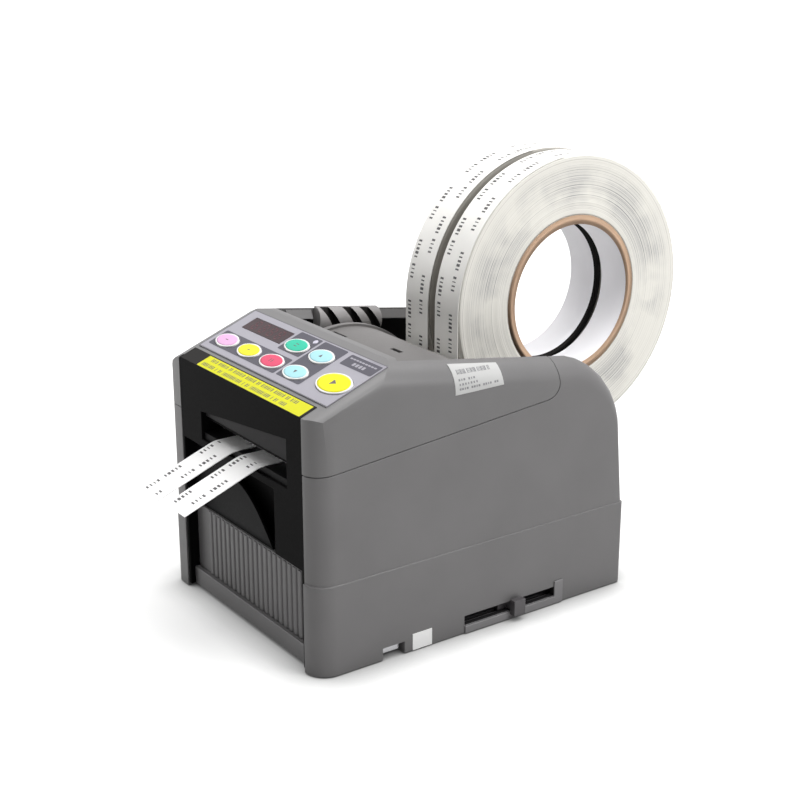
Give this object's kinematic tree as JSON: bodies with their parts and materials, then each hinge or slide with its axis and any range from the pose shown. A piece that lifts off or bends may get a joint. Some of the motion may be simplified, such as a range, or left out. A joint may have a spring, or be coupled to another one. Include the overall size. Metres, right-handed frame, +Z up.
{
  "type": "tape cutting machine",
  "caption": "Desk machine with a sloping key panel that feeds adhesive tape from rolls in an open rear bay and cuts it at a front outlet.",
  "frame": {"origin": "bottom centre of the machine with its rolls and hanging strips, on the floor", "axes": "+Z up, +Y towards the tape rolls at the rear, +X towards the side with the slider"},
  "size_m": [0.1426, 0.3038, 0.219],
  "materials": {
    "housing_grey": "fine grained moulding",
    "cover_grey": "fine grained moulding",
    "light_grey": "smooth moulding",
    "black": "satin moulding",
    "dark_grey": "satin moulding",
    "sheet": "printed film",
    "caution": "printed film",
    "window": "tinted window",
    "pink": "button",
    "yellow": "button",
    "red": "button",
    "green": "button",
    "blue": "button",
    "board": "printed board",
    "clear": "lens",
    "steel": "bare steel",
    "zinc": "zinc plated",
    "brass": "turned",
    "rubber": "soft rubber",
    "alu": "milled",
    "nylon": "white nylon",
    "tape": "wound tape",
    "card": "cardboard",
    "label": "blank paper label"
  },
  "bodies": {
    "machine": {"main_body": "housing_grey", "top_cover": "cover_grey", "bottom_plate": "zinc", "feet": "rubber", "base_screws": "steel", "front_bezel": "black", "guide_plate": "dark_grey", "exit_chute": "black", "inner_shield": "black", "ribbed_panel": "cover_grey", "control_sheet": "sheet", "caution_strip": "caution", "display_window": "window", "digit_display": "black", "display_board": "board", "indicator_led": "clear", "left_frame": "zinc", "right_frame": "zinc", "frame_spacers": "steel", "shaft_bushes": "brass", "tape_table": "zinc", "blade_bed": "alu", "fixed_blade": "steel", "blade_posts": "steel", "cutter_motor": "steel", "feed_motor": "steel", "feed_cover": "light_grey", "left_liner": "black", "vent_block": "cover_grey", "roll_cradle": "dark_grey", "near_tape": "tape", "far_tape": "tape", "control_board": "board", "power_jack": "black", "side_rail": "light_grey", "base_clip": "steel", "labels": "label"},
    "near_roll_set": {"near_roll": "tape", "near_core": "card"},
    "far_roll_set": {"far_roll": "tape", "far_core": "card"},
    "front_support": {"front_support_roller": "nylon"},
    "rear_support": {"rear_support_roller": "nylon"},
    "guide": {"guide_roller": "nylon"},
    "feed": {"feed_roller": "rubber", "feed_gear": "nylon"},
    "pinion": {"motor_pinion": "brass"},
    "pinch_arm": {"pinch_arms": "zinc"},
    "pinch": {"pinch_roller": "rubber"},
    "blade": {"blade_carriage": "alu", "moving_blade": "steel"},
    "crank": {"crank_disc": "brass"},
    "slider": {"side_slider": "dark_grey"},
    "pink_button_cap": {"pink_button": "pink"},
    "yellow_button_cap": {"yellow_button": "yellow"},
    "red_button_cap": {"red_button": "red"},
    "lower_blue_button_cap": {"lower_blue_button": "blue"},
    "green_button_cap": {"green_button": "green"},
    "upper_blue_button_cap": {"upper_blue_button": "blue"},
    "start_button_cap": {"start_button": "yellow"}
  },
  "joints": [
    {"name": "near_roll_spin", "type": "hinge", "parent": "machine", "child": "near_roll_set", "pos_m": [-0.0023, 0.07788, 0.145], "axis": [1, 0, 0], "continuous": true},
    {"name": "far_roll_spin", "type": "hinge", "parent": "machine", "child": "far_roll_set", "pos_m": [-0.0023, 0.07788, 0.145], "axis": [1, 0, 0], "continuous": true},
    {"name": "front_support_spin", "type": "hinge", "parent": "machine", "child": "front_support", "pos_m": [-0.0023, 0.01484, 0.0921], "axis": [1, 0, 0], "continuous": true},
    {"name": "rear_support_spin", "type": "hinge", "parent": "machine", "child": "rear_support", "pos_m": [-0.0023, 0.09218, 0.06395], "axis": [1, 0, 0], "continuous": true},
    {"name": "guide_spin", "type": "hinge", "parent": "machine", "child": "guide", "pos_m": [-0.0023, -0.00511, 0.1003], "axis": [1, 0, 0], "continuous": true},
    {"name": "feed_spin", "type": "hinge", "parent": "machine", "child": "feed", "pos_m": [-0.0023, -0.06711, 0.0823], "axis": [1, 0, 0], "continuous": true},
    {"name": "pinion_spin", "type": "hinge", "parent": "machine", "child": "pinion", "pos_m": [-0.0023, -0.04901, 0.0642], "axis": [1, 0, 0], "continuous": true},
    {"name": "pinch_lift", "type": "hinge", "parent": "machine", "child": "pinch_arm", "pos_m": [-0.0023, -0.04512, 0.108], "axis": [-1, 0, 0], "range_deg": [0, 8], "stiffness_Nm_per_rad": 2, "springref_deg": -17.19},
    {"name": "pinch_spin", "type": "hinge", "parent": "pinch_arm", "child": "pinch", "pos_m": [-0.0023, -0.06711, 0.0993], "axis": [1, 0, 0], "continuous": true},
    {"name": "blade_slide", "type": "slide", "parent": "machine", "child": "blade", "axis": [0, 0, -1], "range_m": [0, 0.01029]},
    {"name": "crank_turn", "type": "hinge", "parent": "machine", "child": "crank", "pos_m": [-0.0023, -0.07512, 0.046], "axis": [1, 0, 0], "range_deg": [0, 80.1]},
    {"name": "slider_move", "type": "slide", "parent": "machine", "child": "slider", "axis": [0, 1, 0], "range_m": [-0.027, 0.022]},
    {"name": "pink_button_press", "type": "slide", "parent": "machine", "child": "pink_button_cap", "axis": [0, 0.3584, -0.9336], "range_m": [0, 0.0005], "stiffness_N_per_m": 400, "springref_m": -0.001},
    {"name": "yellow_button_press", "type": "slide", "parent": "machine", "child": "yellow_button_cap", "axis": [0, 0.3584, -0.9336], "range_m": [0, 0.0005], "stiffness_N_per_m": 400, "springref_m": -0.001},
    {"name": "red_button_press", "type": "slide", "parent": "machine", "child": "red_button_cap", "axis": [0, 0.3584, -0.9336], "range_m": [0, 0.0005], "stiffness_N_per_m": 400, "springref_m": -0.001},
    {"name": "lower_blue_button_press", "type": "slide", "parent": "machine", "child": "lower_blue_button_cap", "axis": [0, 0.3584, -0.9336], "range_m": [0, 0.0005], "stiffness_N_per_m": 400, "springref_m": -0.001},
    {"name": "green_button_press", "type": "slide", "parent": "machine", "child": "green_button_cap", "axis": [0, 0.3584, -0.9336], "range_m": [0, 0.0005], "stiffness_N_per_m": 400, "springref_m": -0.001},
    {"name": "upper_blue_button_press", "type": "slide", "parent": "machine", "child": "upper_blue_button_cap", "axis": [0, 0.3584, -0.9336], "range_m": [0, 0.0005], "stiffness_N_per_m": 400, "springref_m": -0.001},
    {"name": "start_button_press", "type": "slide", "parent": "machine", "child": "start_button_cap", "axis": [0, 0.3584, -0.9336], "range_m": [0, 0.0005], "stiffness_N_per_m": 400, "springref_m": -0.001}
  ],
  "couplings": [
    {"joint": "far_roll_spin", "follows": "near_roll_spin", "ratio": 1},
    {"joint": "front_support_spin", "follows": "near_roll_spin", "ratio": -9.25},
    {"joint": "rear_support_spin", "follows": "near_roll_spin", "ratio": -9.25},
    {"joint": "guide_spin", "follows": "near_roll_spin", "ratio": -9.25},
    {"joint": "feed_spin", "follows": "near_roll_spin", "ratio": 8.2222},
    {"joint": "pinion_spin", "follows": "near_roll_spin", "ratio": -19.733},
    {"joint": "pinch_spin", "follows": "near_roll_spin", "ratio": -10.571},
    {"joint": "crank_turn", "follows": "blade_slide", "rad_per_m": 135.76}
  ]
}
